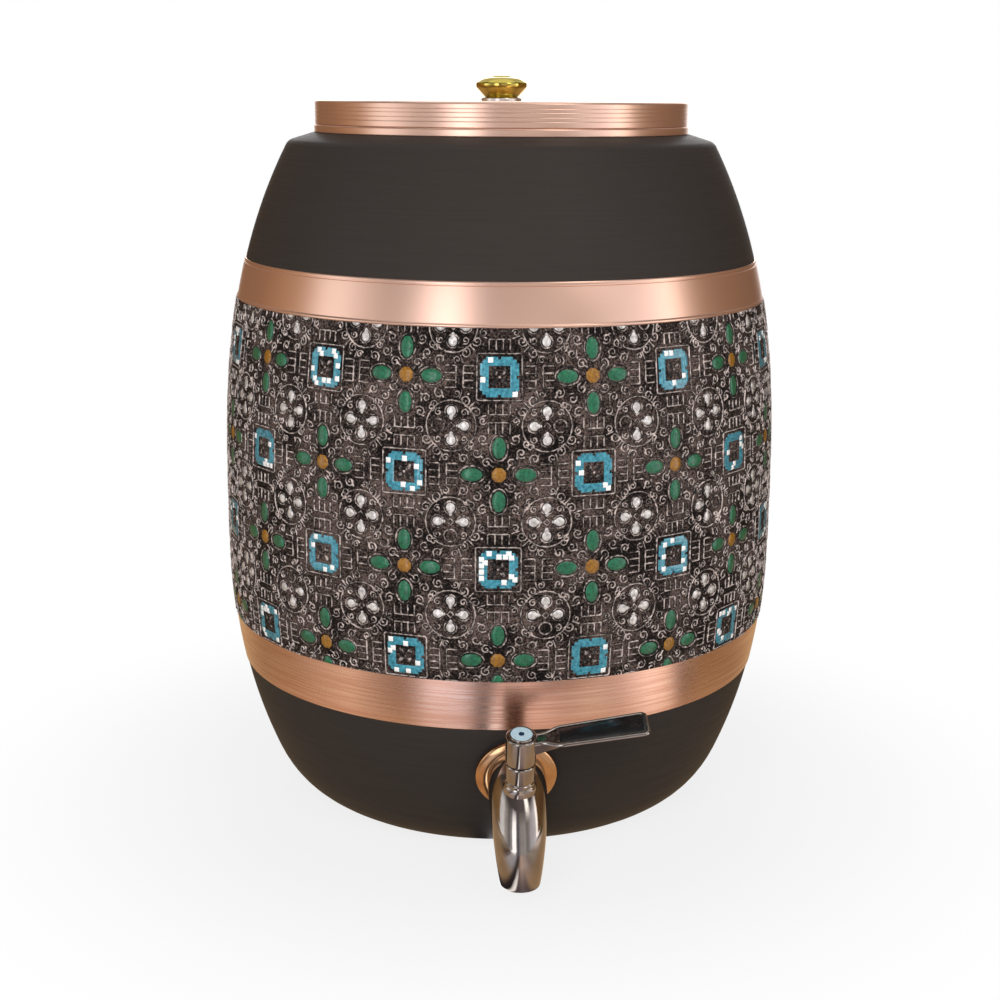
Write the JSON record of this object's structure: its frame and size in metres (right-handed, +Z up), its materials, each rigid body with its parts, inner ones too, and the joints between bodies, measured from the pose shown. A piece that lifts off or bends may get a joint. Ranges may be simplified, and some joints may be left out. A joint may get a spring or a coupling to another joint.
{
  "type": "water dispenser",
  "caption": "Barrel-shaped copper water dispenser with copper bands, an embossed belt, a lift-off lid with a brass knob and a chrome lever tap.",
  "frame": {"origin": "centre of the flat base, on the table", "axes": "+Z up along the barrel, -Y out through the tap, +X to the right seen from the front"},
  "size_m": [0.2304, 0.2537, 0.3025],
  "materials": {
    "lacquered_copper": "dark satin lacquer on copper",
    "brushed_copper": "bare copper, brushed round",
    "embossed_copper": "embossed, oxidised copper with enamel colours",
    "chrome": "polished chrome plate",
    "brass": "polished brass",
    "rubber": "black rubber",
    "black_inlay": "gloss black",
    "blue_disc": "pale blue with a dark dot"
  },
  "bodies": {
    "vessel": {"upper_shell": "lacquered_copper", "lower_shell": "lacquered_copper", "neck_collar": "brushed_copper", "upper_band": "brushed_copper", "lower_band": "brushed_copper", "embossed_sleeve": "embossed_copper", "tap_body": "chrome", "tap_flange": "chrome", "outer_washer": "rubber", "inner_washer": "rubber", "nut_washer": "brass", "lock_nut": "brass", "bonnet": "chrome"},
    "lid": {"lid_cap": "brushed_copper", "knob_rosette": "brass", "lid_knob": "brass", "knob_washer": "brass", "knob_screw": "brass"},
    "tap_lever": {"spindle": "brass", "spindle_o_rings": "rubber", "lever": "chrome", "lever_insert": "black_inlay", "cap_screw": "chrome", "indicator_disc": "blue_disc"}
  },
  "joints": [
    {"name": "lid_lift", "type": "slide", "parent": "vessel", "child": "lid", "axis": [0, 0, 1], "range_m": [0, 0.06]},
    {"name": "lever_turn", "type": "hinge", "parent": "vessel", "child": "tap_lever", "pos_m": [0, -0.12149, 0.0397], "axis": [0, -0.2917, 0.9565], "range_deg": [-90, 0]}
  ]
}
